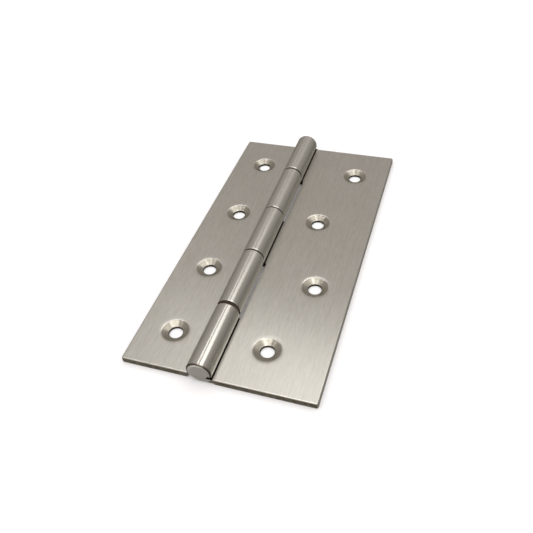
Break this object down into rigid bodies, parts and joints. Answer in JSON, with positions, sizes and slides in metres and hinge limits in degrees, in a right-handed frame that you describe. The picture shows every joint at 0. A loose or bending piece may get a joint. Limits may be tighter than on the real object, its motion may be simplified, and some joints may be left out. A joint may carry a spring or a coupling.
{
  "type": "butt hinge",
  "caption": "Rectangular butt hinge with unequal leaves, rolled interleaving knuckles on a fixed pin, and countersunk screw holes in line on one leaf and staggered on the other.",
  "frame": {"origin": "middle of the outline of the open hinge, on the plane of the backs of the leaves", "axes": "+Y along the pin, +X from the pin towards the wide leaf's outer edge, +Z out of the countersunk faces"},
  "size_m": [0.064, 0.125, 0.0084],
  "materials": {
    "brushed_leaf": "satin stainless sheet brushed along the pin",
    "ground_pin": "stainless rod with ends ground flush"
  },
  "bodies": {
    "wide_side": {"wide_leaf": "brushed_leaf", "hinge_pin": "ground_pin"},
    "narrow_side": {"narrow_leaf": "brushed_leaf"}
  },
  "joints": [
    {"name": "leaf_fold", "type": "hinge", "parent": "wide_side", "child": "narrow_side", "pos_m": [-0.005, 0, 0.00418], "axis": [0, 1, 0], "range_deg": [-90, 180]}
  ]
}
